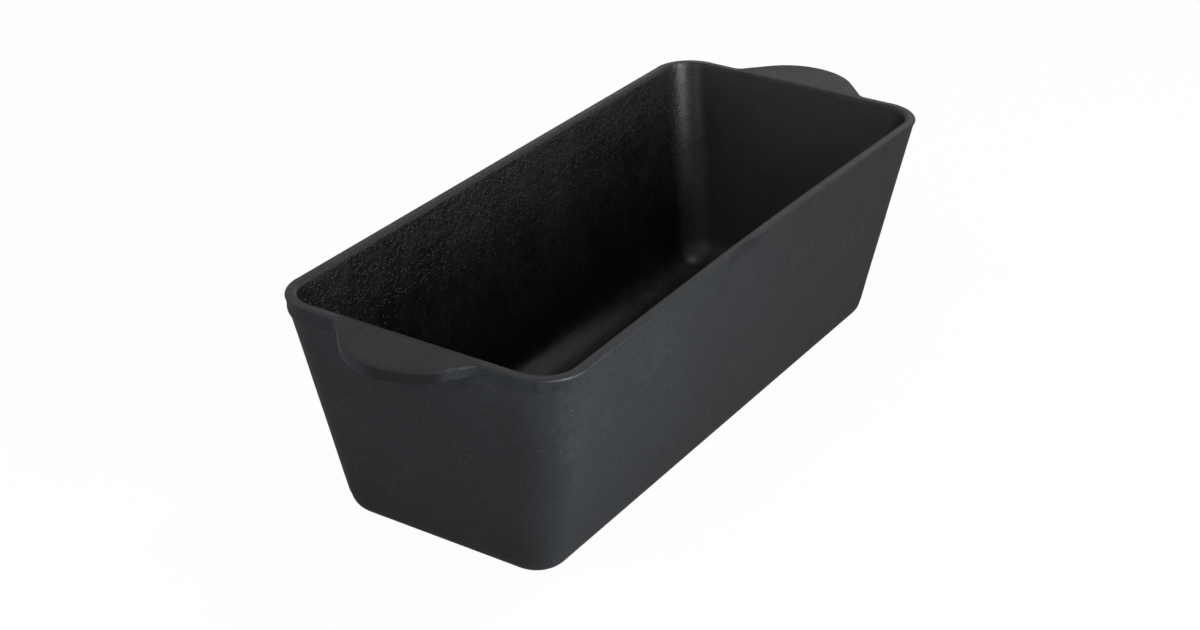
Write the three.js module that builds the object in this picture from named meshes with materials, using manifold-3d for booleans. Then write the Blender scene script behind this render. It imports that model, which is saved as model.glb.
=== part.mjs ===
// A cast iron bread pan: one sand casting with flared walls, a plain lip round its mouth
// and a flat ear handle at each end, level with the rim.
// Millimetres, +Z up. The origin is on the table under the middle of the pan, and +X runs along it.
import * as THREE from 'three';
import { mergeVertices } from 'three/addons/utils/BufferGeometryUtils.js';
import Module from 'manifold-3d';

// Mouth, measured over the lip, and the overall height.
const RIM_LENGTH = 278;
const RIM_WIDTH = 121.5;
const RIM_CORNER_RADIUS = 18;
const HEIGHT = 90;

// Foot: where the flared walls, carried straight down, would meet the table.
const FOOT_LENGTH = 247;
const FOOT_WIDTH = 90.5;
const FOOT_CORNER_RADIUS = 12;
const FOOT_EDGE_RADIUS = 8.3;

// Iron: the wall is measured level, from the flared outside to the flared inside.
const WALL = 4.7;
const FLOOR = 6;

// Inside: the fillet round the floor, and how much rounder than it the corners are, all the way up.
const FLOOR_FILLET = 10;
const INSIDE_CORNER_EASE = 2;

// Lip: an upright band that stands a little proud of the wall below it.
const LIP_HEIGHT = 5;
const LIP_PROUD = 0.45;
const LIP_CHAMFER_HEIGHT = 3;
const LIP_EDGE_RADIUS = 0.8;
const MOUTH_EDGE_RADIUS = 1.5;

// Ear handles: a round crown, straight flanks, and hollow fillets that run out along the lip.
const HANDLE_REACH = 19;
const HANDLE_THICKNESS = 5;
const HANDLE_CROWN_RADIUS = 27;
const HANDLE_FLANK_ANGLE = THREE.MathUtils.degToRad(47);
const HANDLE_ROOT_FILLET = 5;
const HANDLE_EDGE_RADIUS = 0.8;
const HANDLE_OVERLAP = 3;

// Steps in which round stretches are drawn.
const CORNER_STEPS = 6;
const FILLET_STEPS = 8;
const EDGE_STEPS = 3;
const HANDLE_CURVE_STEPS = 8;

const QUARTER_TURN = Math.PI / 2;
const MOUTH_MARGIN = 5;

const wasm = await Module();
wasm.setup();

// The outside of the wall at a height: half its length, half its width and its corner radius.
// It flares in a straight line from the foot to the underside of the lip.
function wallAt(height) {
  const rise = height / (HEIGHT - LIP_HEIGHT);
  const along = (foot, rim) => THREE.MathUtils.lerp(foot / 2, rim / 2 - LIP_PROUD, rise);
  return {
    halfLength: along(FOOT_LENGTH, RIM_LENGTH),
    halfWidth: along(FOOT_WIDTH, RIM_WIDTH),
    radius: THREE.MathUtils.lerp(FOOT_CORNER_RADIUS, RIM_CORNER_RADIUS, height / HEIGHT),
    height,
  };
}

// The inside of the wall at a height. Its corners keep one radius, rounder than the floor's fillet.
function cavityAt(height) {
  const section = grow(wallAt(height), -WALL);
  section.radius = FLOOR_FILLET + INSIDE_CORNER_EASE;
  return section;
}

// The same section with every side moved out by a distance.
function grow(section, distance) {
  return {
    halfLength: section.halfLength + distance,
    halfWidth: section.halfWidth + distance,
    radius: section.radius + distance,
    height: section.height,
  };
}

// How far a side stands in from its flared line, where a fillet rounds it into a level floor.
// The fillet is an arc that touches both, and rise is the height above that floor.
function filletInset(radius, slope, rise) {
  const lean = Math.atan(slope);
  if (rise >= radius * (1 - Math.sin(lean))) return 0;
  const reach = radius * Math.tan((QUARTER_TURN - lean) / 2);
  return reach + slope * rise - Math.sqrt(radius ** 2 - (radius - rise) ** 2);
}

// Sections from a level floor up to where its fillet has met the flared wall.
function filletSections(sectionAt, floor, radius) {
  const low = sectionAt(floor);
  const high = sectionAt(floor + radius);
  const lengthSlope = (high.halfLength - low.halfLength) / radius;
  const widthSlope = (high.halfWidth - low.halfWidth) / radius;
  const sections = [];
  for (let step = 0; step <= FILLET_STEPS; step++) {
    const rise = radius * (1 - Math.cos((QUARTER_TURN * step) / FILLET_STEPS));
    const section = sectionAt(floor + rise);
    const lengthInset = filletInset(radius, lengthSlope, rise);
    const widthInset = filletInset(radius, widthSlope, rise);
    section.halfLength -= lengthInset;
    section.halfWidth -= widthInset;
    section.radius -= (lengthInset + widthInset) / 2;
    sections.push(section);
  }
  return sections;
}

// Sections of a rounded rim edge, running up into the level top of the rim.
// A positive side rounds an outer edge, which draws in; a negative one a mouth, which opens out.
function edgeSections(section, radius, side) {
  const sections = [];
  for (let step = 0; step <= EDGE_STEPS; step++) {
    const turn = (QUARTER_TURN * step) / EDGE_STEPS;
    const rounded = grow(section, -side * radius * (1 - Math.cos(turn)));
    rounded.height = HEIGHT - radius + radius * Math.sin(turn);
    sections.push(rounded);
  }
  return sections;
}

// A section's outline: a rounded rectangle, as a ring of points running anticlockwise.
function ring({ halfLength, halfWidth, radius, height }) {
  const x = halfLength - radius;
  const y = halfWidth - radius;
  const outline = new THREE.Path();
  outline.absarc(x, y, radius, 0, QUARTER_TURN);
  outline.absarc(-x, y, radius, QUARTER_TURN, 2 * QUARTER_TURN);
  outline.absarc(-x, -y, radius, 2 * QUARTER_TURN, 3 * QUARTER_TURN);
  outline.absarc(x, -y, radius, 3 * QUARTER_TURN, 4 * QUARTER_TURN);
  return outline.getPoints(CORNER_STEPS).map((point) => new THREE.Vector3(point.x, point.y, height));
}

// A skin over a stack of sections, closed by a flat cap at each end.
function loft(sections) {
  const rings = sections.map(ring);
  const count = rings[0].length;
  const top = (rings.length - 1) * count;
  const index = [];
  for (let level = 0; level < top; level += count) {
    for (let i = 0; i < count; i++) {
      const here = level + i;
      const next = level + ((i + 1) % count);
      index.push(here, next, next + count);
      index.push(here, next + count, here + count);
    }
  }
  for (const [a, b, c] of THREE.ShapeUtils.triangulateShape(rings[0], [])) {
    index.push(a, c, b);
    index.push(top + a, top + b, top + c);
  }
  const geometry = new THREE.BufferGeometry().setFromPoints(rings.flat());
  geometry.setIndex(index);
  return geometry;
}

// A closed geometry as a solid that can be joined and cut.
function toSolid(geometry) {
  geometry.deleteAttribute('normal');
  geometry.deleteAttribute('uv');
  const merged = mergeVertices(geometry);
  const mesh = new wasm.Mesh({
    numProp: 3,
    vertProperties: new Float32Array(merged.attributes.position.array),
    triVerts: new Uint32Array(merged.index.array),
  });
  return new wasm.Manifold(mesh);
}

// A solid as a geometry to draw.
function toGeometry(solid) {
  const mesh = solid.getMesh();
  const geometry = new THREE.BufferGeometry();
  geometry.setAttribute('position', new THREE.BufferAttribute(mesh.vertProperties, mesh.numProp));
  geometry.setIndex(new THREE.BufferAttribute(mesh.triVerts, 1));
  geometry.computeVertexNormals();
  return geometry;
}

// The outside of the tub, from the table up to the rim, as if it were solid.
function tubBlock() {
  const wallTop = HEIGHT - LIP_HEIGHT - LIP_CHAMFER_HEIGHT;
  const lip = {
    halfLength: RIM_LENGTH / 2,
    halfWidth: RIM_WIDTH / 2,
    radius: RIM_CORNER_RADIUS,
    height: HEIGHT - LIP_HEIGHT,
  };
  return loft([
    ...filletSections(wallAt, 0, FOOT_EDGE_RADIUS),
    wallAt(wallTop),
    lip,
    ...edgeSections(lip, LIP_EDGE_RADIUS, 1),
  ]);
}

// The space inside, from the floor up through the mouth.
function cavityBlock() {
  const mouth = edgeSections(cavityAt(HEIGHT - MOUTH_EDGE_RADIUS), MOUTH_EDGE_RADIUS, -1);
  const above = { ...mouth.at(-1), height: HEIGHT + MOUTH_MARGIN };
  return loft([...filletSections(cavityAt, FLOOR, FLOOR_FILLET), ...mouth, above]);
}

// One ear handle's plan, for the +X end: crown arc, straight flanks and hollow root fillets.
function handlePlan() {
  const face = RIM_LENGTH / 2;
  const crownX = face + HANDLE_REACH - HANDLE_CROWN_RADIUS;
  const filletX = face + HANDLE_ROOT_FILLET;
  const apart = HANDLE_CROWN_RADIUS + HANDLE_ROOT_FILLET;
  const along = (filletX - crownX) * Math.cos(HANDLE_FLANK_ANGLE);
  const rootY = (apart - along) / Math.sin(HANDLE_FLANK_ANGLE);
  const plan = new THREE.Shape();
  plan.moveTo(face - HANDLE_OVERLAP, -rootY);
  plan.lineTo(face, -rootY);
  plan.absarc(filletX, -rootY, HANDLE_ROOT_FILLET, Math.PI, Math.PI - HANDLE_FLANK_ANGLE, true);
  plan.absarc(crownX, 0, HANDLE_CROWN_RADIUS, -HANDLE_FLANK_ANGLE, HANDLE_FLANK_ANGLE, false);
  plan.absarc(filletX, rootY, HANDLE_ROOT_FILLET, Math.PI + HANDLE_FLANK_ANGLE, Math.PI, true);
  plan.lineTo(face - HANDLE_OVERLAP, rootY);
  return plan;
}

// One ear handle, its top level with the rim, turned to the end that it belongs to.
function handle(turn) {
  const geometry = new THREE.ExtrudeGeometry(handlePlan(), {
    depth: HANDLE_THICKNESS - 2 * HANDLE_EDGE_RADIUS,
    curveSegments: HANDLE_CURVE_STEPS,
    bevelThickness: HANDLE_EDGE_RADIUS,
    bevelSize: HANDLE_EDGE_RADIUS,
    bevelOffset: -HANDLE_EDGE_RADIUS,
    bevelSegments: EDGE_STEPS,
  });
  geometry.translate(0, 0, HEIGHT - HANDLE_THICKNESS + HANDLE_EDGE_RADIUS);
  geometry.rotateZ(turn);
  return geometry;
}

// The casting: the tub and its two handles as one piece of iron, hollowed out.
function panCasting() {
  const iron = toSolid(tubBlock()).add(toSolid(handle(0))).add(toSolid(handle(Math.PI)));
  const seasonedIron = new THREE.MeshStandardMaterial({ color: 0x3a3c40, roughness: 0.6, metalness: 0.4 });
  const mesh = new THREE.Mesh(toGeometry(iron.subtract(toSolid(cavityBlock()))), seasonedIron);
  mesh.name = 'pan_casting';
  return mesh;
}

const breadPan = new THREE.Group();
breadPan.add(panCasting());

export default breadPan;
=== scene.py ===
"""A cast iron bread pan, seen from one end and above on a white studio floor."""

import bpy
import numpy as np
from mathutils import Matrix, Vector


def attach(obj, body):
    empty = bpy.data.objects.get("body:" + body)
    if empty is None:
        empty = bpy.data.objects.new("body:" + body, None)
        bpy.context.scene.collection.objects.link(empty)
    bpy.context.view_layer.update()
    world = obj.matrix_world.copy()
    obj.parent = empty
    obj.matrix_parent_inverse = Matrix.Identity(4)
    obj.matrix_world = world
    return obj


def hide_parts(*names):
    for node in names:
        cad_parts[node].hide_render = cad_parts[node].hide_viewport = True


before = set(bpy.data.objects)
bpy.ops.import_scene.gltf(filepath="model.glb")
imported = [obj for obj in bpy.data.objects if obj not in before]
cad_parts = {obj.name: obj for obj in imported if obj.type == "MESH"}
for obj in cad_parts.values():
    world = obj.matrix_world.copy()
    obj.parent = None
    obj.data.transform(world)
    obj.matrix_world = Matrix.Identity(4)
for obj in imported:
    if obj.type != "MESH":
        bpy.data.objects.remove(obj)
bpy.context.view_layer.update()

# The pan: floor, flared walls, lip and two ear handles, poured in one piece in a sand mould.
# It is grey iron under a thin black skin of baked-on oil. The rim and the handles' tops are level with each
# other, and the rest keeps the mould's soft, slightly uneven face. Its sizes are in millimetres.
MM = 0.001
RIM = {"length": 278.0, "width": 121.5, "corner": 18.0}
FOOT = {"length": 247.0, "width": 90.5, "corner": 12.0}
HEIGHT = 90.0
SIDE_STEPS, END_STEPS, CORNER_STEPS = 150, 92, 20


def round_the_pan():
    """The grid's columns, anticlockwise from the +X end's low-Y corner.

    A column is its share (cx, cy) of the corner centres and its plan normal (nx, ny). A ring of half-length
    a, half-width b and corner radius r runs through x = cx (a - r) + nx r and y = cy (b - r) + ny r.
    """
    end = np.linspace(-1.0, 1.0, END_STEPS, endpoint=False)
    side = np.linspace(1.0, -1.0, SIDE_STEPS, endpoint=False)
    turn = np.linspace(0.0, np.pi / 2, CORNER_STEPS, endpoint=False)
    flat, level, bend = np.ones(END_STEPS), np.ones(SIDE_STEPS), np.ones(CORNER_STEPS)
    sine, cosine = np.sin(turn), np.cos(turn)
    cx = [flat, bend, side, -bend, -flat, -bend, -side, bend]
    cy = [end, bend, level, bend, -end, -bend, -level, -bend]
    nx = [flat, cosine, 0 * level, -sine, -flat, -cosine, 0 * level, sine]
    ny = [0 * flat, sine, level, cosine, 0 * flat, -sine, -level, -cosine]
    return [np.concatenate(part) for part in (cx, cy, nx, ny)]


def rows(half_length, half_width, corner, height, outset=0.0):
    """A band of rings: four sizes and an outset along the plan normal, each spread over rows and columns."""
    every_column = np.zeros((1, len(cx)))
    parts = np.broadcast_arrays(half_length, half_width, corner, height, outset, every_column)
    return np.stack(parts[:5])


def column(*values):
    """Values down a band's rows."""
    return np.concatenate([np.atleast_1d(v) for v in values])[:, None].astype(float)


cx, cy, nx, ny = round_the_pan()
at_end, at_near_end = np.abs(nx) > 0.9999, nx < -0.9999
at_side, at_low_side = np.abs(ny) > 0.9999, ny < -0.9999
rim_a, rim_b, rim_r = RIM["length"] / 2, RIM["width"] / 2, RIM["corner"]
foot_a, foot_b, foot_r = FOOT["length"] / 2, FOOT["width"] / 2, FOOT["corner"]

# Underside and foot: a flat sole, then an arc that touches both the table and the flared wall.
FOOT_EDGE = 8.3
LIP_HEIGHT = 5.0
LIP_PROUD = 0.45
FLARE = (rim_b - LIP_PROUD - foot_b) / (HEIGHT - LIP_HEIGHT)
lean = np.arctan(FLARE)
tuck = np.tan((np.pi / 2 - lean) / 2)
sole = column(0.0, 0.25, 0.5, 0.72, 0.88)
foot_in = FOOT_EDGE * tuck
underside = rows(sole * (foot_a - foot_in), sole * (foot_b - foot_in), sole * (foot_r - foot_in), 0.0)
roll = column(np.linspace(0.0, np.pi / 2 - lean, 11))
draw = FOOT_EDGE * np.sin(roll) - foot_in
foot_edge = rows(foot_a + draw, foot_b + draw, foot_r + draw, FOOT_EDGE * (1 - np.cos(roll)))


def smooth(x, low, high):
    """0 below low, 1 above high, and an even S between them: t squared times three less two t."""
    t = np.clip((x - low) / (high - low), 0.0, 1.0)
    return t * t * (3.0 - 2.0 * t)


# Outside: a straight flare, then a soft step out on to the upright lip. The low-Y wall has no such step and
# runs straight up to the rim.
LIP_STEP = (81.6, 85.0)
wall_foot = FOOT_EDGE * (1 - np.sin(lean)) + 1.6
climb = column(np.linspace(wall_foot, LIP_STEP[0], 45), np.linspace(82.1, 84.9, 7))
lipped = 1 - smooth(-ny, 0.45, 0.80)
straight = (rim_b - foot_b) / HEIGHT
round_out = (rim_r - foot_r) / HEIGHT
flare = straight + (FLARE - straight) * lipped
step = smooth(climb, *LIP_STEP) * lipped
wall_a, wall_b, wall_r = foot_a + flare * climb, foot_b + flare * climb, foot_r + round_out * climb
outside = rows(
    wall_a + (rim_a - wall_a) * step,
    wall_b + (rim_b - wall_b) * step,
    wall_r + (rim_r - wall_r) * step,
    climb,
)

# Lip and handles: under the handle, round its edge, and back over its level top to the mouth. Where there is
# no handle the same rows climb the lip's upright face. The feed's stub has left a step on one handle's flank
# and a shallow nick in the rim, and a thin fin of iron stands out at the rim's corners.
EAR_REACH = 19.0
EAR_THICKNESS = 5.0
EAR_CROWN = 27.0
EAR_FLANK = np.radians(47.0)
EAR_ROOT = 5.0
EAR_EDGE = {"low": 0.8, "top": 0.6}
LIP_EDGE = 0.9
STUB = {"start": 9.0, "rise": 12.5, "end": (21.4, 22.6), "proud": 2.1}
NICK = {"middle": -15.0, "reach": 11.0, "depth": 1.5}
FIN_PROUD = 0.5


def ear_outline(y):
    """How far a handle stands out from the lip at a distance y from its middle, and that line's slope.

    A crown arc about the middle, a straight slanting flank, and a hollow root arc that ends along the lip.
    """
    y = np.abs(y)
    sine, cosine = np.sin(EAR_FLANK), np.cos(EAR_FLANK)
    centre = EAR_REACH - EAR_CROWN
    root = (EAR_CROWN + EAR_ROOT - (EAR_ROOT - centre) * cosine) / sine
    flank, hollow = EAR_CROWN * sine, root - EAR_ROOT * sine
    near = np.minimum(y, flank)
    arc = np.sqrt(EAR_CROWN ** 2 - near ** 2)
    away = np.clip(root - y, 0.0, EAR_ROOT * sine)
    bowl = np.sqrt(EAR_ROOT ** 2 - away ** 2)
    reach = np.where(y <= flank, centre + arc, centre + EAR_CROWN * cosine - (y - flank) * sine / cosine)
    reach = np.where(y >= hollow, EAR_ROOT - bowl, reach)
    slope = np.where(y <= flank, near / arc, sine / cosine)
    slope = np.where(y >= hollow, away / bowl, slope)
    return reach, slope


def hump(x, middle, reach, power=2):
    """1 at the middle, falling off on both sides as e to the minus (distance over reach) to a power."""
    return np.exp(-np.abs((x - middle) / reach) ** power)


across = np.where(at_end, cy * (rim_b - rim_r), 1e3)
ear, ear_slope = ear_outline(across)
ear = np.where(at_end, ear, 0.0)
stub = np.clip((-STUB["start"] - across) / STUB["rise"], 0.0, 1.0) * (1 - smooth(-across, *STUB["end"]))
ear = ear + STUB["proud"] * stub * at_near_end
stretch = np.where(at_end, np.sqrt(1 + ear_slope ** 2), 1.0)
is_ear = smooth(ear, 0.0, 2.5)
along = cx * (rim_a - rim_r)
nick = np.where(at_low_side, hump(along, NICK["middle"], NICK["reach"], 4), 0.0)
ragged = 1 + 0.12 * np.sin(along * 1.3) + 0.10 * np.sin(along * 2.3 + 1.0)
bite = NICK["depth"] * nick * ragged
fin = FIN_PROUD * (2 * np.abs(nx * ny)) ** 0.6
ear_low = HEIGHT - EAR_THICKNESS

run = column(np.linspace(0.0, 0.97, 9))
under_ear = rows(rim_a, rim_b, rim_r, ear_low + (1 - is_ear) * 1.6 * run, (ear - bite * 0.5) * run)
bend = column(np.linspace(0.0, np.pi / 2, 5))
low_in = np.minimum(EAR_EDGE["low"] * stretch * (1 - np.sin(bend)), ear)
low_edge = rows(
    rim_a, rim_b, rim_r,
    ear_low + is_ear * EAR_EDGE["low"] * (1 - np.cos(bend)) + (1 - is_ear) * (1.7 + 0.5 * bend),
    ear - is_ear * low_in - bite * 0.7,
)
ear_face = rows(rim_a, rim_b, rim_r, column(87.9, 88.6), ear - bite * 0.9 + fin * column(0.1, 0.5))
bend = column(np.linspace(0.0, np.pi / 2, 6))
edge_r = LIP_EDGE + (EAR_EDGE["top"] - LIP_EDGE) * is_ear
top_in = edge_r * stretch * (1 - np.cos(bend))
top_edge = rows(rim_a, rim_b, rim_r, HEIGHT - edge_r * (1 - np.sin(bend)), ear - top_in - bite + fin)
for band in (under_ear, low_edge, ear_face, top_edge):
    below = (HEIGHT - band[3]) * (1 - lipped)
    band[:3] -= np.stack([straight * below, straight * below, round_out * below])

# Level top: from the edge of the lip or the handle in to the mouth.
WALL = 4.7
MOUTH_EDGE = 1.5
INSIDE_CORNER = {"mouth": 12.0, "floor": 13.0}
inside_a, inside_b = foot_a - WALL, foot_b - WALL
mouth_z = HEIGHT - MOUTH_EDGE
mouth_a, mouth_b, mouth_r = inside_a + FLARE * mouth_z, inside_b + FLARE * mouth_z, INSIDE_CORNER["mouth"]
share = column(np.linspace(0.0, 1.0, 13)[1:-1])
rim_top = rows(
    rim_a + (mouth_a + MOUTH_EDGE - rim_a) * share,
    rim_b + (mouth_b + MOUTH_EDGE - rim_b) * share,
    rim_r + (mouth_r + MOUTH_EDGE - rim_r) * share,
    HEIGHT,
    (1 - share) * (ear - edge_r * stretch - bite + fin),
)

# Inside: the rounded mouth edge, the wall, and the fillet that rolls round the floor and its corners, a
# little wider along the sides.
FLOOR = 4.4
FLOOR_FILLET = {"corner": 13.0, "side": 15.0}
bend = column(np.linspace(0.0, np.pi / 2 - lean, 7))
roll_in = MOUTH_EDGE * (1 - np.sin(bend))
mouth_edge = rows(
    mouth_a + roll_in, mouth_b + roll_in, mouth_r + roll_in, mouth_z + MOUTH_EDGE * np.cos(bend),
)
along_side = at_side * (1 - smooth(np.abs(cx), 0.55, 0.98))
fillet_r = FLOOR_FILLET["corner"] + (FLOOR_FILLET["side"] - FLOOR_FILLET["corner"]) * along_side
fillet_top = FLOOR + fillet_r * (1 - np.sin(lean))
wall_high, wall_low = mouth_z - 1.2, fillet_top + 1.5
drop = wall_high - (wall_high - wall_low) * column(np.linspace(0.0, 1.0, 46))
risen = (drop - fillet_top) / (mouth_z - fillet_top)
floor_r = INSIDE_CORNER["floor"]
inside = rows(
    inside_a + FLARE * drop, inside_b + FLARE * drop, floor_r + (mouth_r - floor_r) * risen ** 2, drop,
)
roll = column(np.linspace(np.pi / 2 - lean, 0.0, 13))
draw = fillet_r * (np.sin(roll) - tuck)
fillet = rows(
    inside_a + FLARE * FLOOR + draw, inside_b + FLARE * FLOOR + draw, floor_r + draw - draw[0],
    FLOOR + fillet_r * (1 - np.cos(roll)),
)
sole = column(0.9, 0.76, 0.58, 0.38, 0.18, 0.0)
floor_in = FLARE * FLOOR - fillet_r * tuck
floor = rows(
    sole * (inside_a + floor_in), sole * (inside_b + floor_in), sole * (floor_r + draw[-1] - draw[0]), FLOOR,
)

bands = {
    "underside": underside, "foot_edge": foot_edge, "outside": outside, "under_ear": under_ear,
    "low_edge": low_edge, "ear_face": ear_face, "top_edge": top_edge, "rim_top": rim_top,
    "mouth_edge": mouth_edge, "inside": inside, "fillet": fillet, "floor": floor,
}
half_length, half_width, corner, height, outset = np.concatenate(list(bands.values()), axis=1)
x = cx * (half_length - corner) + nx * (corner + outset)
y = cy * (half_width - corner) + ny * (corner + outset)
z = height.copy()
band_of = np.repeat(np.arange(len(bands)), [band.shape[1] for band in bands.values()])[:, None]
order = {name: i for i, name in enumerate(bands)}

# The casting's unevenness: the low-Y wall has drawn in by about a millimetre at its middle as it cooled, and
# every moulded face waves by about a twentieth of a millimetre.
BOW = {"depth": 1.15, "half_wave": 190.0}
WAVE_DEPTH = 0.05
WAVE_LENGTHS = (24, 31, 38, 47, 55, 66, 80)
WAVE_SEED = 3


def mould_waves(points, seed, lengths, depth):
    """A sum of plane waves in seeded directions, one for each wave length, scaled to a depth."""
    rng = np.random.default_rng(seed)
    total = 0.0
    for length in lengths:
        way = rng.normal(size=3)
        way *= 2 * np.pi / (length * np.linalg.norm(way))
        total = total + np.sin(np.tensordot(way, points, 1) + rng.uniform(0, 6.28))
    return depth * total / np.sqrt(len(lengths))


bow = BOW["depth"] * np.cos(np.pi * x / BOW["half_wave"]) * hump(x, 0, 136, 16)
y += bow * np.clip(-ny, 0, 1) * np.clip(z / HEIGHT, 0, 1) ** 2
points = np.stack([x, y, z])
down_rows = np.gradient(points, axis=1)
round_rows = (np.roll(points, -1, axis=2) - np.roll(points, 1, axis=2)) / 2
normal = np.cross(round_rows, down_rows, axis=0)
normal /= np.maximum(np.linalg.norm(normal, axis=0), 1e-9)
moulded = smooth(z, 3.0, 12.0) * (1 - smooth(z, 78.0, 86.0))
points += normal * mould_waves(points, WAVE_SEED, WAVE_LENGTHS, WAVE_DEPTH) * moulded

# The finish's marks, with painted light and shade among them, are carried by the mesh, and these say where
# they
# lie: inside the mouth, on the level top, high or low, on a long wall, the far wall or the near end, in a
# corner, and in the floor's fillet.
within = band_of >= order["mouth_edge"]
on_top = smooth(z, 89.15, 89.9) * (band_of >= order["top_edge"]) * (band_of <= order["rim_top"])
depth = HEIGHT - z
above = z - FLOOR
low_down = 1 - smooth(z, 20.0, 60.0)
long_wall = smooth(np.abs(ny), 0.85, 1.0)
far_wall = smooth(nx, 0.95, 1.0) * smooth(above, 0.0, 8.0)
near_end = smooth(-nx, 0.5, 1.0)
in_corner = smooth(np.abs(ny), 0.0, 0.5) * (1 - long_wall)
far_corner = smooth(nx, 0.1, 0.6) * smooth(ny, 0.0, 0.5) * smooth(above, 0.0, 8.0)
beside_far_wall = smooth(nx, 0.75, 0.95) * smooth(ny, 0.05, 0.3)
in_fillet = smooth(above, 0.2, 2.2) * (1 - smooth(above, 8.0, 24.0)) * (1 - 0.6 * smooth(x, 10.0, 90.0))
floor_a, floor_b = inside_a + floor_in.min(), inside_b + floor_in.min()
floor_corner = hump(np.abs(x), floor_a, 9.0) * hump(np.abs(y), floor_b, 9.0) * (1 - smooth(above, 0.0, 0.5))

# How dull the skin is: matt outside, satin on the level top and inside, smoothest in the fillet.
DULL = {"outside": 1.0, "top": 0.52, "inside": 0.42}
top_dull = DULL["top"] + (0.15 + 0.0012 * y) * is_ear - (0.0005 + 0.0003 * is_ear) * x
inside_dull = DULL["inside"] + 0.15 * far_wall + 0.17 * in_corner * low_down * smooth(above, 1.6, 5.0)
inside_dull = inside_dull - 0.10 * beside_far_wall * (1 - low_down) - 0.10 * floor_corner
high_dull = (0.0006 * x - 0.02) * (1 - low_down) + 0.09 * smooth(z, 55.0, 85.0)
inside_dull = inside_dull + long_wall * (high_dull - 0.14 * in_fillet)
by_mouth = (1 - smooth(depth, 0.6, 3.0)) * (1 - smooth(ny, 0.3, 0.8))
inside_dull = inside_dull + (top_dull - 0.36) * by_mouth
dull = np.where(within, inside_dull, DULL["outside"] + (top_dull - DULL["outside"]) * on_top)

# How pale the skin is, with painted light and shade in it: palest outside and at the near end of the low-Y
# wall, where painted light lies, and darkest inside, partly a blacker skin and partly painted shade of the
# hollow.
PALE_AND_SHADE = {"outside": 0.86, "top": 0.45, "inside": 0.19}
# Painted light: the low-Y wall paler towards its near end, as if lit from close by.
painted_light_side = smooth(-ny, 0.72, 1.0) * (np.exp(-(x + 125.0) / 95.0) - 0.64)
# Painted shade: darker towards the bottom, most of all low on the near end.
painted_shade_low = 0.80 + 0.26 * smooth(z, 0.0, 75.0) - 0.26 * (1 - smooth(z, 5.0, 40.0)) * near_end
# Painted shade: the near end darker all over.
outer_tone_and_light = (PALE_AND_SHADE["outside"] + painted_light_side - 0.22 * near_end) * painted_shade_low
# Painted light: paler on the near end just under the handle, where its shadow falls.
outer_tone_and_light = outer_tone_and_light + 0.30 * smooth(z, 62.0, 82.0) * hump(y, -5.0, 42.0, 4) * (nx < -0.5)
# Painted light: the far wall inside paler, most of all low down.
inner_tone_and_light = PALE_AND_SHADE["inside"] + 0.25 * far_wall * (1 - 0.7 * smooth(z, 45.0, 80.0))
# Painted highlights: a streak in the far inner corner and spots in the floor's corners.
inner_tone_and_light = inner_tone_and_light + 0.35 * far_corner + 0.45 * floor_corner
tone_and_painted_light = np.where(within, inner_tone_and_light, outer_tone_and_light + (PALE_AND_SHADE["top"] - outer_tone_and_light) * on_top)

# How deep the mould's grain is: deepest high on the long walls and along the +Y mouth edge.
GRAIN = {"outside": 0.30, "inside": 0.22}
by_corner = smooth(np.abs(ny), 0.1, 0.5) * smooth(z, 20.0, 40.0)
high_grain = 2.5 * smooth(z, 50.0, 85.0) * (0.6 + 0.4 * smooth(x, -115.0, -35.0))
wall_grain = 0.45 * smooth(z, 20.0, 50.0) + high_grain
inside_grain = GRAIN["inside"] + 0.08 * by_corner + long_wall * wall_grain
raw_edge = smooth(ny, 0.5, 0.9)
edge_grain = (0.9 * raw_edge + 0.5 * is_ear) * (band_of >= order["top_edge"])
under_mouth = smooth(depth, 0.5 - 0.45 * raw_edge, 3.0 - 2.0 * raw_edge)
grain = np.where(within, inside_grain * under_mouth, GRAIN["outside"] + edge_grain)

# A pale grey line on the rim's outer edge round one corner and along the side, and painted highlights: a
# short line on the near handle's edge by the stub and a glint on the mouth's far corner.
edge_line = np.where(band_of == order["top_edge"], hump(z, 89.38, 0.20), 0.0)
round_corner = 0.9 * hump(x, -130.0, 5.0) * smooth(-y, 50.0, 56.0)
down_side = (0.14 * hump(x, -110.0, 14.0) + 0.05 * (1 - smooth(x, -90.0, -60.0))) * smooth(-y, 55.0, 60.0)
# Painted highlight: a short line on the near handle's edge by the stub.
painted_stub_highlight = 0.30 * hump(x, -143.0, 4.5) * hump(y, -27.0, 7.0)
# Painted highlight: a glint on the mouth's far corner.
painted_glint = 0.7 * hump(x, 129.7, 2.5) * hump(y, 53.8, 2.5) * hump(z, 89.3, 0.6)
pale_edge_and_glint = edge_line * np.clip(round_corner + down_side + painted_stub_highlight, 0.0, 1.0)
pale_edge_and_glint = pale_edge_and_glint + np.where(band_of == order["mouth_edge"], painted_glint, 0.0)

# Where it is dark: round the nick, in painted shade on the near handle's edge as far as the stub, and in
# scuffs on the lip below the corner with the pale edge line.
strokes = hump(along, -6.0, 25.0, 4) * (0.35 + 0.55 * hump(along, NICK["middle"], 10.0))
nick_darkening = np.where(at_low_side, strokes, 0.0) * hump(z, 88.9, 0.55) * (band_of <= order["top_edge"])
ear_rim = (band_of >= order["low_edge"]) & (band_of <= order["top_edge"]) & at_near_end
# Painted shade on the near handle's edge, as far as the stub.
painted_ear_edge_shade = smooth(-y, -6.0, 2.0) * (1 - smooth(-y, 21.8, 22.6)) * (1 - smooth(z, 89.2, 89.75))
dark_nick_and_painted_shade = np.clip(np.maximum(nick_darkening, np.where(ear_rim, painted_ear_edge_shade, 0.0)), 0.0, 1.0)
scuffed = hump(x, -135.0, 7.0) * hump(y, -55.0, 7.0) * hump(z, 86.8, 2.2) * (band_of < order["rim_top"])


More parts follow.
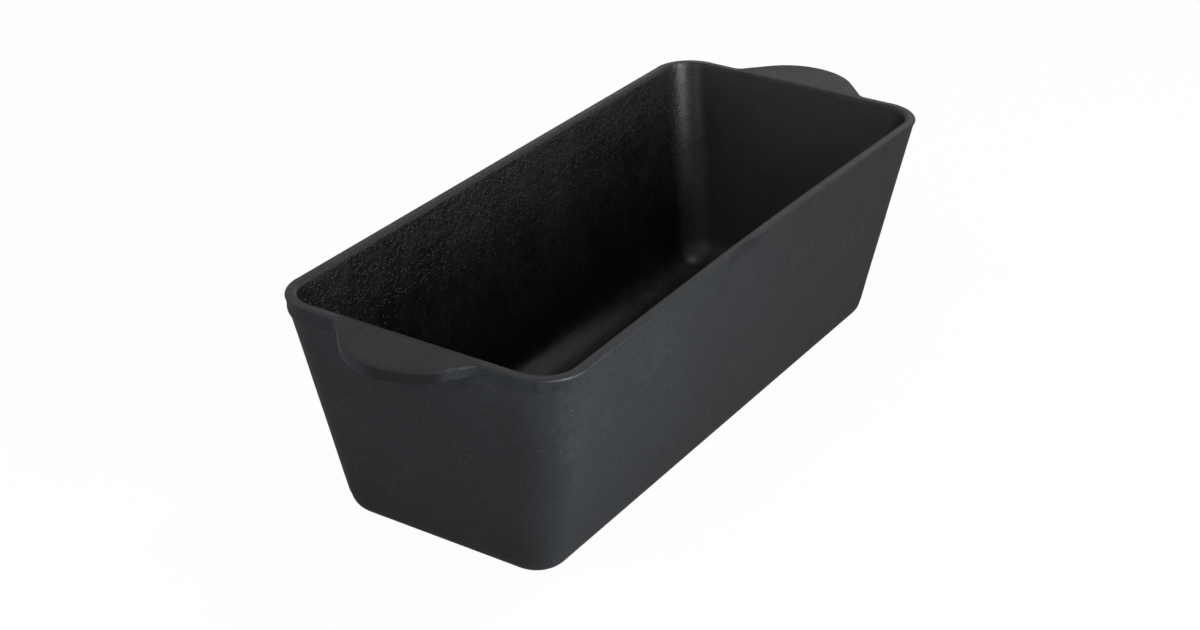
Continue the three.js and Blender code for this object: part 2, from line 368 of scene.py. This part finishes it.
def casting_mesh(name, points):
    """The grid as one closed mesh: its first and last rings close to single points, the rest are quads."""
    ring_count, count = points.shape[1:]
    flat = points.reshape(3, -1).T * MM
    verts = np.concatenate([flat[:1], flat[count:-count], flat[-1:]])
    last = len(verts) - 1
    here = np.arange(count)
    after = np.roll(here, -1)
    low = 1 + np.arange(ring_count - 3)[:, None] * count
    high = low + count
    quads = np.stack([low + here, low + after, high + after, high + here], -1)
    top = 1 + (ring_count - 3) * count
    first_fan = np.stack([np.zeros_like(here), 1 + after, 1 + here], -1)
    last_fan = np.stack([np.full_like(here, last), top + here, top + after], -1)
    faces = first_fan.tolist() + quads.reshape(-1, 4).tolist() + last_fan.tolist()
    mesh = bpy.data.meshes.new(name)
    mesh.from_pydata(verts.tolist(), [], faces)
    mesh.shade_smooth()
    return mesh


def mark(mesh, name, values):
    """A number for each of the mesh's points, taken from the grid's array of the same marks."""
    count = values.shape[1]
    flat = values.reshape(-1).astype(np.float32)
    layer = mesh.attributes.new(name, "FLOAT", "POINT")
    layer.data.foreach_set("value", np.concatenate([flat[:1], flat[count:-count], flat[-1:]]))


pan_mesh = casting_mesh("pan", points)
marks = {"grain": grain, "dull": dull, "tone_and_painted_light": tone_and_painted_light, "pale_edge_and_glint": pale_edge_and_glint, "dark_nick_and_painted_shade": dark_nick_and_painted_shade, "scuffed": scuffed}
for name, values in marks.items():
    mark(pan_mesh, name, values)
pan = bpy.data.objects.new("pan", pan_mesh)
bpy.context.scene.collection.objects.link(pan)

# Oil-seasoned iron: a black skin with a satin sheen, clouded by handling, over the grain of the sand mould.
# The colours are linear, and the grain's depth is in metres.
SKIN_DARK, SKIN_CLOUD = (0.0062, 0.0074, 0.0092, 1), (0.0158, 0.0182, 0.0214, 1)
SKIN_SMEAR, SKIN_SPECK = (0.0168, 0.0190, 0.0220, 1), (0.055, 0.058, 0.062, 1)
# The darkest colour also paints shade on the handle's edge, and the pale grey also paints highlights.
DARK_NICK_AND_SHADE, RAW_SCUFF, PALE_GREY_AND_GLINT = (0.002, 0.002, 0.0023, 1), (0.004, 0.004, 0.0045, 1), (0.15, 0.15, 0.15, 1)
SHEEN_TINT = (0.94, 0.97, 1.0, 1)
GRAIN_DEPTH = 0.00020


def add(tree, kind, inputs=None, **settings):
    """A node with its settings, and its inputs filled by a value or linked from another node's output."""
    node = tree.nodes.new(kind)
    for key, value in settings.items():
        setattr(node, key, value)
    for key, value in (inputs or {}).items():
        if isinstance(value, bpy.types.NodeSocket):
            tree.links.new(value, node.inputs[key])
        else:
            node.inputs[key].default_value = value
    return node


def combine(tree, how, *numbers):
    """Two or three numbers joined by a step of arithmetic."""
    return add(tree, "ShaderNodeMath", dict(enumerate(numbers)), operation=how).outputs[0]


def spread(tree, value, low, high, **settings):
    """A number spread out in a straight line, so that low becomes 0 and high becomes 1."""
    ends = {"Value": value, "From Min": low, "From Max": high}
    return add(tree, "ShaderNodeMapRange", ends, **settings).outputs[0]


def blotches(tree, place, scale, low, high, detail=4.0):
    """Cloudy patches from 0 to 1: noise of that scale, with what lies between two levels spread out."""
    look = {"Vector": place, "Scale": scale, "Detail": detail, "Roughness": 0.55}
    return spread(tree, add(tree, "ShaderNodeTexNoise", look).outputs["Fac"], low, high)


def blend(tree, share, a, b):
    """One colour passing into another by a share."""
    return add(tree, "ShaderNodeMix", {0: share, 6: a, 7: b}, data_type="RGBA").outputs[2]


iron = bpy.data.materials.new("seasoned_iron")
iron.use_nodes = True
tree = iron.node_tree
tree.nodes.clear()
place = add(tree, "ShaderNodeTexCoord").outputs["Object"]
grain_mark, dull_mark, tone_and_light_mark, pale_edge_and_glint_mark, dark_nick_and_shade_mark, scuff_mark = [
    add(tree, "ShaderNodeAttribute", attribute_name=name).outputs["Fac"] for name in marks
]
clouds = blotches(tree, place, 26.0, 0.34, 0.66)
smears = blotches(tree, place, 85.0, 0.38, 0.66)
pebbles = blotches(tree, place, 420.0, 0.30, 0.70, detail=2.0)
fine = blotches(tree, place, 1100.0, 0.35, 0.65, detail=1.0)

dots = add(tree, "ShaderNodeTexVoronoi", {"Vector": place, "Scale": 210.0})
some_dots = combine(tree, "GREATER_THAN", dots.outputs["Color"], 0.50)
specks = combine(tree, "MULTIPLY", spread(tree, dots.outputs["Distance"], 0.10, 0.04), some_dots)
scuffs = combine(tree, "MULTIPLY", scuff_mark, blotches(tree, place, 260.0, 0.52, 0.60, detail=2.0))
# The pale grey edge line and the painted highlights, broken into patches.
pale_edge_and_glint_patches = combine(tree, "MULTIPLY", pale_edge_and_glint_mark, blotches(tree, place, 520.0, 0.40, 0.62, detail=3.0))
# The skin's tone follows the pale mark, which carries painted light and shade as well as the skin's own tone.
strength = combine(tree, "MULTIPLY", tone_and_light_mark, combine(tree, "MULTIPLY_ADD", pebbles, 0.5, 0.75))
skin = blend(tree, clouds, SKIN_DARK, SKIN_CLOUD)
skin = blend(tree, combine(tree, "MULTIPLY", smears, 0.5), skin, SKIN_SMEAR)
skin = blend(tree, combine(tree, "MULTIPLY", specks, 0.6), skin, SKIN_SPECK)
skin = add(tree, "ShaderNodeVectorMath", {0: skin, "Scale": strength}, operation="SCALE").outputs[0]
# Darker round the nick, and painted shade on the near handle's edge.
skin = blend(tree, dark_nick_and_shade_mark, skin, DARK_NICK_AND_SHADE)
skin = blend(tree, scuffs, skin, RAW_SCUFF)
colour = blend(tree, pale_edge_and_glint_patches, skin, PALE_GREY_AND_GLINT)

patches = combine(tree, "ADD", combine(tree, "ADD", smears, clouds), combine(tree, "ADD", pebbles, fine))
rough = combine(tree, "MULTIPLY", dull_mark, combine(tree, "MULTIPLY_ADD", patches, 0.14, 0.72))

cells = add(tree, "ShaderNodeTexVoronoi", {"Vector": place, "Scale": 780.0})
domes = spread(tree, cells.outputs["Distance"], 0.42, 0.0, interpolation_type="SMOOTHSTEP")
sand = combine(tree, "MULTIPLY", domes, spread(tree, cells.outputs["Color"], 0.30, 0.75))
relief = combine(tree, "MULTIPLY", combine(tree, "MULTIPLY_ADD", pebbles, 0.40, sand), grain_mark)
bump = add(tree, "ShaderNodeBump", {"Strength": 1.0, "Distance": GRAIN_DEPTH, "Height": relief})
iron_skin = add(tree, "ShaderNodeBsdfPrincipled", {
    "Base Color": colour, "Roughness": rough, "Specular IOR Level": 0.32, "Specular Tint": SHEEN_TINT,
    "Normal": bump.outputs["Normal"],
})
add(tree, "ShaderNodeOutputMaterial", {"Surface": iron_skin.outputs["BSDF"]})
pan_mesh.materials.append(iron)
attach(pan, "root")
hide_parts("pan_casting")

# The studio: a white paper sweep under and behind the pan. It mirrors in the iron and keeps a faint shadow.
# One soft lamp stands to the right of the camera, a wider one in front of the near end, and a small one hangs
# over the far end. Sizes are in metres.
FLOOR_REACH = 3.0
PAPER_GREY, WHITE = (0.9, 0.9, 0.9, 1), (1, 1, 1, 1)
PAPER_GLOW, PAPER_MIRRORED = 0.96, 0.4
AIR_LIGHT = 0.3
AIR_SEEN = {"From Min": 0.45, "From Max": 0.70, "To Min": 0.7, "To Max": 0.21}
floor_mesh = bpy.data.meshes.new("studio_floor")
floor_mesh.from_pydata(
    [(-FLOOR_REACH, -FLOOR_REACH, 0), (FLOOR_REACH, -FLOOR_REACH, 0),
     (FLOOR_REACH, FLOOR_REACH, 0), (-FLOOR_REACH, FLOOR_REACH, 0)], [], [(0, 1, 2, 3)])
studio_floor = bpy.data.objects.new("studio_floor", floor_mesh)
bpy.context.scene.collection.objects.link(studio_floor)


def seen_white(tree, mirrored=1.0):
    """1 where a ray comes from the camera or clear glass, a share where it comes from a mirror, else 0."""
    path = add(tree, "ShaderNodeLightPath")
    direct = combine(tree, "MAXIMUM", path.outputs["Is Camera Ray"], path.outputs["Is Transmission Ray"])
    glossy = combine(tree, "MULTIPLY", path.outputs["Is Glossy Ray"], mirrored)
    return combine(tree, "MAXIMUM", direct, glossy)


paper = bpy.data.materials.new("studio_paper")
paper.use_nodes = True
tree = paper.node_tree
tree.nodes.clear()
matt = add(tree, "ShaderNodeBsdfDiffuse", {"Color": PAPER_GREY})
glow = add(tree, "ShaderNodeEmission", {"Color": WHITE, "Strength": 1.0})
white_share = combine(tree, "MULTIPLY", seen_white(tree, PAPER_MIRRORED), PAPER_GLOW)
lit = add(tree, "ShaderNodeMixShader", {0: white_share, 1: matt.outputs[0], 2: glow.outputs[0]})
add(tree, "ShaderNodeOutputMaterial", {"Surface": lit.outputs[0]})
floor_mesh.materials.append(paper)

world = bpy.data.worlds.new("studio_air")
world.use_nodes = True
tree = world.node_tree
tree.nodes.clear()
way = add(tree, "ShaderNodeSeparateXYZ", {0: add(tree, "ShaderNodeTexCoord").outputs["Generated"]})
aloft = add(tree, "ShaderNodeMapRange", {"Value": way.outputs["Z"], **AIR_SEEN}).outputs[0]
level = combine(tree, "MULTIPLY_ADD", seen_white(tree), aloft, AIR_LIGHT)
air = add(tree, "ShaderNodeBackground", {"Color": WHITE, "Strength": level})
add(tree, "ShaderNodeOutputWorld", {"Surface": air.outputs[0]})
bpy.context.scene.world = world


def soft_lamp(name, place, target, wide, tall, watts):
    """A lit panel of that width and height at a place, turned to face a target."""
    lamp = bpy.data.lights.new(name, "AREA")
    lamp.shape = "RECTANGLE"
    lamp.size, lamp.size_y = wide, tall
    lamp.energy = watts
    holder = bpy.data.objects.new(name, lamp)
    holder.location = place
    holder.rotation_euler = (Vector(target) - Vector(place)).to_track_quat("-Z", "Y").to_euler()
    bpy.context.scene.collection.objects.link(holder)


soft_lamp("right_lamp", (-0.20, -1.0, 0.32), (0.0, 0.0, 0.06), wide=0.60, tall=0.66, watts=14.0)
soft_lamp("front_lamp", (-0.85, 0.30, 0.66), (0.0, 0.0, 0.06), wide=1.70, tall=1.20, watts=7.8)
soft_lamp("overhead_lamp", (0.36, -0.24, 1.0), (0.36, -0.2399, 0.0), wide=0.17, tall=0.17, watts=3.2)

# The camera: level, at the photograph's angle and distance, with a lens of about 64 mm on a 36 mm frame.
# All of the pan is in focus.
CAMERA_PLACE, CAMERA_WAY = (-0.63155, -0.39433, 0.42967), (0.74442, 0.47904, -0.46514)
camera_data = bpy.data.cameras.new("camera")
camera_data.sensor_width = 36.0
camera_data.lens = 64.42
camera_data.dof.use_dof = False
camera = bpy.data.objects.new("camera", camera_data)
camera.location = CAMERA_PLACE
camera.rotation_euler = Vector(CAMERA_WAY).to_track_quat("-Z", "Y").to_euler()
bpy.context.scene.collection.objects.link(camera)
bpy.context.scene.camera = camera
bpy.context.scene.view_settings.view_transform = "Standard"
